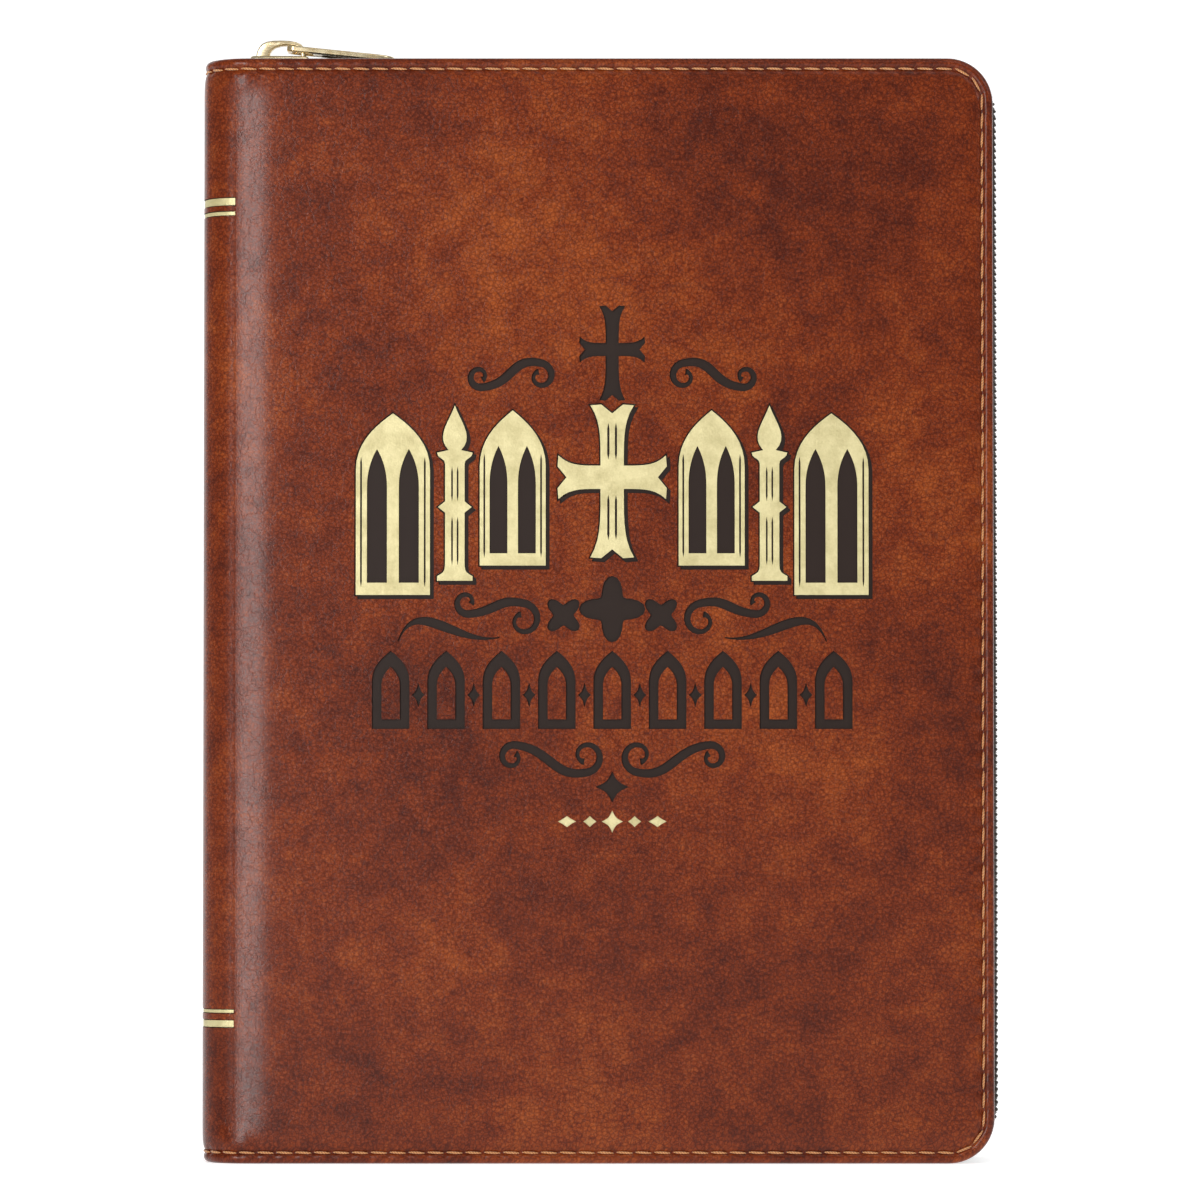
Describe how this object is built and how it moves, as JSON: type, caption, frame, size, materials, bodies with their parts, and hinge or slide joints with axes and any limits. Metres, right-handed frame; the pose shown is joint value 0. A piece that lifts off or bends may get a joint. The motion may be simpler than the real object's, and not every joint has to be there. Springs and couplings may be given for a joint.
{
  "type": "zippered bible",
  "caption": "Padded leather book cover with a perimeter zip, stitched edges, pull tab and a sewn, rounded-corner text block that opens from both covers.",
  "frame": {"origin": "middle of the standing footprint, on the surface the tail edges stand on", "axes": "+Z from tail to head, +X from spine to fore-edge, +Y from front cover to back cover"},
  "size_m": [0.1578, 0.038, 0.2235],
  "materials": {
    "leather": "satin, fine pebble grain",
    "lining": "matt, fine grain",
    "foam": "matt",
    "board": "matt",
    "zip_tape": "woven, matt",
    "zip_coil": "satin",
    "thread": "twisted thread, slight sheen",
    "paper": "matt, gilded edges",
    "flyleaf": "matt",
    "cloth": "open weave",
    "end_band": "ribbed",
    "ribbon": "satin",
    "brass": "polished, pale gold"
  },
  "bodies": {
    "book_block": {"spine_leather": "leather", "spine_stiffener": "board", "spine_liner": "cloth", "spine_stitching": "thread", "section_3": "paper", "section_4": "paper", "front_gutter_fold": "paper", "back_gutter_fold": "paper", "head_band": "end_band", "tail_band": "end_band", "ribbon_marker": "ribbon", "head_end_tab": "leather", "tail_end_tab": "leather", "bottom_stop": "brass"},
    "front_cover": {"front_leather": "leather", "front_foam": "foam", "front_board": "board", "front_lining": "lining", "front_tape": "zip_tape", "front_coil": "zip_coil", "front_stitching": "thread"},
    "back_cover": {"back_leather": "leather", "back_foam": "foam", "back_board": "board", "back_lining": "lining", "back_tape": "zip_tape", "back_coil": "zip_coil", "back_stitching": "thread"},
    "front_endpaper": {"front_flyleaf": "flyleaf"},
    "first_leaves": {"section_1": "paper"},
    "second_leaves": {"section_2": "paper"},
    "back_endpaper": {"back_flyleaf": "flyleaf"},
    "last_leaves": {"section_6": "paper"},
    "next_last_leaves": {"section_5": "paper"},
    "zip_slider": {"slider_body": "brass", "slider_bridge": "brass"},
    "zip_pull": {"pull_tab": "brass"}
  },
  "joints": [
    {"name": "front_cover_hinge", "type": "hinge", "parent": "book_block", "child": "front_cover", "pos_m": [-0.06935, -0.019, 0.109], "axis": [0, 0, -1], "range_deg": [0, 180]},
    {"name": "back_cover_hinge", "type": "hinge", "parent": "book_block", "child": "back_cover", "pos_m": [-0.06935, 0.019, 0.109], "axis": [0, 0, 1], "range_deg": [0, 180]},
    {"name": "front_endpaper_turn", "type": "hinge", "parent": "book_block", "child": "front_endpaper", "pos_m": [-0.06935, -0.019, 0.109], "axis": [0, 0, -1], "range_deg": [0, 165]},
    {"name": "first_leaves_turn", "type": "hinge", "parent": "book_block", "child": "first_leaves", "pos_m": [-0.06935, -0.019, 0.109], "axis": [0, 0, -1], "range_deg": [0, 125]},
    {"name": "second_leaves_turn", "type": "hinge", "parent": "book_block", "child": "second_leaves", "pos_m": [-0.06935, -0.019, 0.109], "axis": [0, 0, -1], "range_deg": [0, 70]},
    {"name": "back_endpaper_turn", "type": "hinge", "parent": "book_block", "child": "back_endpaper", "pos_m": [-0.06935, 0.019, 0.109], "axis": [0, 0, 1], "range_deg": [0, 165]},
    {"name": "last_leaves_turn", "type": "hinge", "parent": "book_block", "child": "last_leaves", "pos_m": [-0.06935, 0.019, 0.109], "axis": [0, 0, 1], "range_deg": [0, 125]},
    {"name": "next_last_leaves_turn", "type": "hinge", "parent": "book_block", "child": "next_last_leaves", "pos_m": [-0.06935, 0.019, 0.109], "axis": [0, 0, 1], "range_deg": [0, 70]},
    {"name": "slider_travel", "type": "slide", "parent": "back_cover", "child": "zip_slider", "axis": [1, 0, 0], "range_m": [0, 0.124]},
    {"name": "pull_swing", "type": "hinge", "parent": "zip_slider", "child": "zip_pull", "pos_m": [-0.06255, 0, 0.22175], "axis": [0, -1, 0], "range_deg": [0, 150]}
  ],
  "couplings": [
    {"joint": "front_endpaper_turn", "follows": "front_cover_hinge", "ratio": 0.9},
    {"joint": "first_leaves_turn", "follows": "front_cover_hinge", "ratio": 0.62},
    {"joint": "second_leaves_turn", "follows": "front_cover_hinge", "ratio": 0.3},
    {"joint": "back_endpaper_turn", "follows": "back_cover_hinge", "ratio": 0.9},
    {"joint": "last_leaves_turn", "follows": "back_cover_hinge", "ratio": 0.62},
    {"joint": "next_last_leaves_turn", "follows": "back_cover_hinge", "ratio": 0.3}
  ]
}
